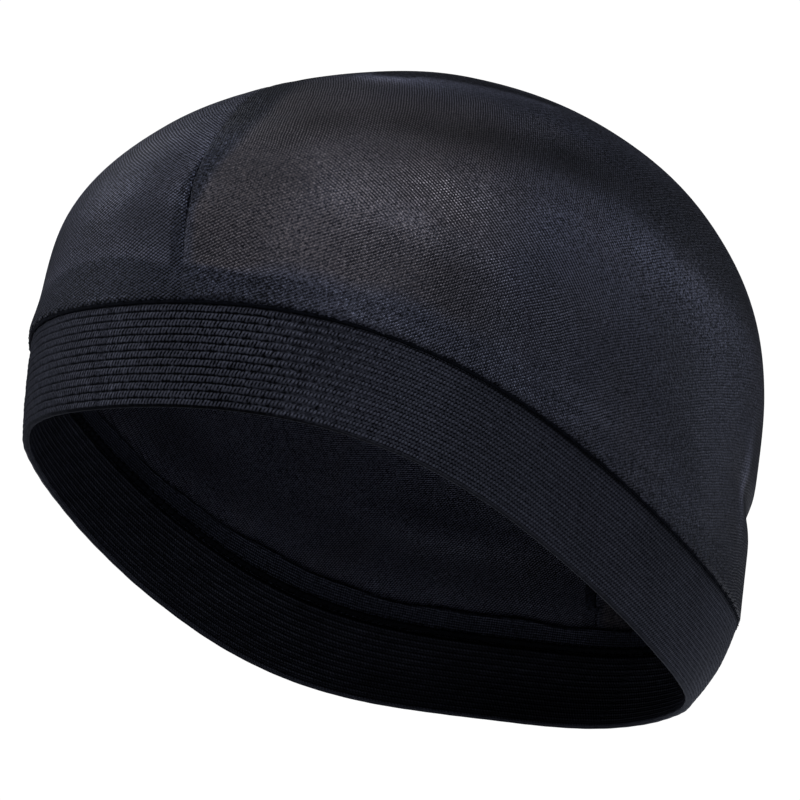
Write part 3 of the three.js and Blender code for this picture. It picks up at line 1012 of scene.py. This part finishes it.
def thread_run(name, points, closed=True, sides=1):
    """A sewn thread through a row of points, as a thin round tube."""
    curve = bpy.data.curves.new(name, "CURVE")
    curve.dimensions = "3D"
    curve.bevel_depth = THREAD_RADIUS[name] * MM
    curve.bevel_resolution = sides
    curve.use_fill_caps = not closed
    run = curve.splines.new("POLY")
    run.points.add(len(points) - 1)
    for knot, point in zip(run.points, worn(points).tolist()):
        knot.co = (*point, 1)
    run.use_cyclic_u = closed
    holder = bpy.data.objects.new(name, curve)
    bpy.context.scene.collection.objects.link(holder)
    mesh = bpy.data.meshes.new_from_object(holder.evaluated_get(bpy.context.evaluated_depsgraph_get()))
    bpy.data.objects.remove(holder)
    return mesh


def join_runs(name, runs, material, nodes):
    """Joins several runs of thread into one piece."""
    bm = bmesh.new()
    for mesh in runs:
        bm.from_mesh(mesh)
        bpy.data.meshes.remove(mesh)
    return finish_piece(name, bm, material, nodes)


def crease_runs():
    """Overlock thread in the crease above the band, with stitches that bite into the crown."""
    around = np.linspace(0, 360, 900, endpoint=False)
    uneven = 0.10 * np.sin(around * 1.9) + 0.08 * np.sin(around * 3.7 + 1) + 0.05 * np.sin(around * 0.7)
    cord = crown_point(0.12 + 0 * around, around, 0.95 + uneven)
    # One stitch: how far along it each point is, how high it climbs and how deep it lies
    stitch = np.array([(0.0, 0.0, 0.9), (0.25, 0.55, 0.35), (0.5, 0.75, 0.2), (0.75, 0.4, 0.45)])
    stitches = int(BAND_LENGTHS[-1] / STITCH_PITCH)
    turn = (np.arange(stitches)[:, None] + stitch[None, :, 0]) * 360 / stitches
    wobble = 0.75 + 0.35 * np.sin(turn * 1.7) + 0.2 * np.sin(turn * 4.3 + 2)
    climb = stitch[None, :, 1] * wobble
    depth = np.broadcast_to(stitch[None, :, 2], turn.shape)
    bites = crown_point(climb.ravel(), turn.ravel(), depth.ravel())
    return [thread_run("crease_cord", cord), thread_run("crease_bites", bites)]


def inner_runs():
    """The overlocked roll inside, where crown and band are sewn together, and its looped thread."""
    around = np.linspace(0, 360, 500, endpoint=False)
    climb = ROLL_CLIMB + 0.03 * np.sin(around * 2.1)
    roll = crown_point(climb, around, ROLL_DEPTH + 0.05 * np.sin(around * 1.3))
    turns = int(BAND_LENGTHS[-1] / ROLL_LOOP_PITCH)
    points_per_loop = 6
    step = np.arange(turns * points_per_loop)
    angle = step * 2 * math.pi / points_per_loop
    around = step * 360 / len(step)
    loops = crown_point(ROLL_CLIMB + 0.42 * np.cos(angle), around, ROLL_DEPTH + 0.82 * np.sin(angle))
    step = np.arange(turns * 2)
    around = step * 360 / len(step)
    climb = hem_rise(around) - 0.3 - 0.55 * (step % 2)
    zigzag = crown_point(climb, around, HEM_LOOP_DEPTH + 0 * around)
    return [thread_run("roll", roll, sides=2), thread_run("roll_loops", loops),
            thread_run("hem_loops", zigzag)]


def seam_runs():
    """Stitches that show at the bottom of the crown seam's groove."""
    seam = seam_on_disc(1200)
    climb, around = disc_place(seam[:, 0], seam[:, 1])
    stitches = 170
    dips = 0.15 * np.sin(np.linspace(0, 1, len(seam)) * 2 * math.pi * stitches)
    points = crown_point(climb, around, 0.75 + dips)
    return [thread_run("groove_stitches", points[1:-1], closed=False)]


join_runs("overlock_thread", crease_runs() + inner_runs(), thread, ["band_seam"])
join_runs("crown_seam_stitches", seam_runs(), thread, [])


# Floor, light and camera: sizes here are in metres

FLOOR_RADIUS = 1.6
FLOOR_HEIGHT = -0.16
# How bright the white all round is, to the camera and as a fill light on the cap
WHITE_BEHIND = 1.05
WHITE_FILL = 0.03
FILL_COLOUR = (0.94, 0.97, 1, 1)
# The camera: its turn around the cap, how far off it stands, its lens and what it is aimed at
VIEW_TURN = math.radians(44)
VIEW_DISTANCE = 1.1
VIEW_LENS = 199.3
VIEW_SENSOR = 36
VIEW_CLIP = (0.05, 50)
AIM_RIGHT = 0.00684
AIM_UP = 0.046
TO_RIGHT = Vector((math.cos(VIEW_TURN), math.sin(VIEW_TURN), 0))
TO_CAMERA = Vector((math.sin(VIEW_TURN), -math.cos(VIEW_TURN), 0))
UP = Vector((0, 0, 1))
# Soft boxes around the cap: how far off they stand, their size, their lift and what they are aimed at
LIGHT_DISTANCE = 1.6
LIGHT_SIDE = 0.5
LIGHT_LIFT = 0.04
LIGHT_AIM = Vector((0, 0, 0.05))
WHITE = (0.97, 0.98, 1.0)
COOL = (0.88, 0.93, 1.0)
# How high each one stands and its turn to the right of the camera, in degrees, and its power and colour
SOFT_BOXES = {
    "high_right": {"rise": 55, "turn": 60, "watts": 9.0, "colour": COOL},
    "high_left": {"rise": 55, "turn": 300, "watts": 6.2, "colour": WHITE},
    "front": {"rise": 35, "turn": 0, "watts": 5.7, "colour": WHITE},
    "low_right": {"rise": 3, "turn": 30, "watts": 1.1, "colour": COOL},
    "low_left": {"rise": 15, "turn": 270, "watts": 5.6, "colour": WHITE},
    "top": {"rise": 75, "turn": 180, "watts": 2.5, "colour": WHITE},
    "side": {"rise": 15, "turn": 120, "watts": 1.1, "colour": COOL},
    "back_left": {"rise": 35, "turn": 240, "watts": 1.9, "colour": WHITE},
    "back": {"rise": 35, "turn": 210, "watts": 0.7, "colour": WHITE},
}


def stage_floor():
    bm = bmesh.new()
    bmesh.ops.create_circle(bm, cap_ends=True, segments=96, radius=FLOOR_RADIUS)
    bmesh.ops.translate(bm, verts=bm.verts, vec=(0, 0, FLOOR_HEIGHT))
    mesh = bpy.data.meshes.new("floor")
    bm.to_mesh(mesh)
    bm.free()
    floor = bpy.data.objects.new("floor", mesh)
    bpy.context.scene.collection.objects.link(floor)
    tree = Tree("pale_floor")
    tone = tree.range(tree.noise(tree.here(), 3), 0.3, 0.7, 0.86, 0.90)
    mesh.materials.append(tree.finish(Base_Color=tree.add("CombineColor", tone, tone, tone), Roughness=0.9,
                                      Specular_IOR_Level=0.1))


def surroundings():
    """An even white all round that shows white behind the cap and lights it more softly."""
    world = bpy.data.worlds.new("studio")
    world.use_nodes = True
    nodes, links = world.node_tree.nodes, world.node_tree.links
    backdrop = nodes.new("ShaderNodeBackground")
    backdrop.inputs["Strength"].default_value = WHITE_BEHIND
    backdrop.inputs["Color"].default_value = (1, 1, 1, 1)
    fill = nodes.new("ShaderNodeBackground")
    fill.inputs["Strength"].default_value = WHITE_FILL
    fill.inputs["Color"].default_value = FILL_COLOUR
    rays = nodes.new("ShaderNodeLightPath")
    mix = nodes.new("ShaderNodeMixShader")
    links.new(rays.outputs["Is Camera Ray"], mix.inputs["Fac"])
    links.new(fill.outputs[0], mix.inputs[1])
    links.new(backdrop.outputs[0], mix.inputs[2])
    links.new(mix.outputs[0], nodes["World Output"].inputs["Surface"])
    bpy.context.scene.world = world


def studio(right, up, towards):
    """A place seen from the camera: metres to the right, up, and towards the camera."""
    return TO_RIGHT * right + UP * up + TO_CAMERA * towards


def aimed(spot, aim):
    """The turn of a lamp or camera that looks from a spot at its aim."""
    return (aim - spot).to_track_quat("-Z", "Y").to_euler()


def soft_box(name, box):
    rise, turn = math.radians(box["rise"]), math.radians(box["turn"])
    reach = LIGHT_DISTANCE * math.cos(rise)
    light = bpy.data.lights.new(name, "AREA")
    light.shape = "SQUARE"
    light.size = LIGHT_SIDE
    light.energy = box["watts"]
    light.color = box["colour"]
    lamp = bpy.data.objects.new(name, light)
    lamp.location = studio(reach * math.sin(turn), LIGHT_DISTANCE * math.sin(rise) + LIGHT_LIFT,
                           reach * math.cos(turn))
    lamp.rotation_euler = aimed(lamp.location, LIGHT_AIM)
    bpy.context.scene.collection.objects.link(lamp)


def photo_camera():
    view = bpy.data.cameras.new("photo_view")
    view.lens = VIEW_LENS
    view.sensor_width = VIEW_SENSOR
    view.clip_start, view.clip_end = VIEW_CLIP
    camera = bpy.data.objects.new("photo_view", view)
    camera.location = TO_CAMERA * VIEW_DISTANCE
    camera.rotation_euler = aimed(camera.location, studio(AIM_RIGHT, AIM_UP, 0))
    bpy.context.scene.collection.objects.link(camera)
    return camera


stage_floor()
surroundings()
for name, box in SOFT_BOXES.items():
    soft_box(name, box)
bpy.context.scene.camera = photo_camera()
bpy.context.scene.view_settings.view_transform = "Standard"
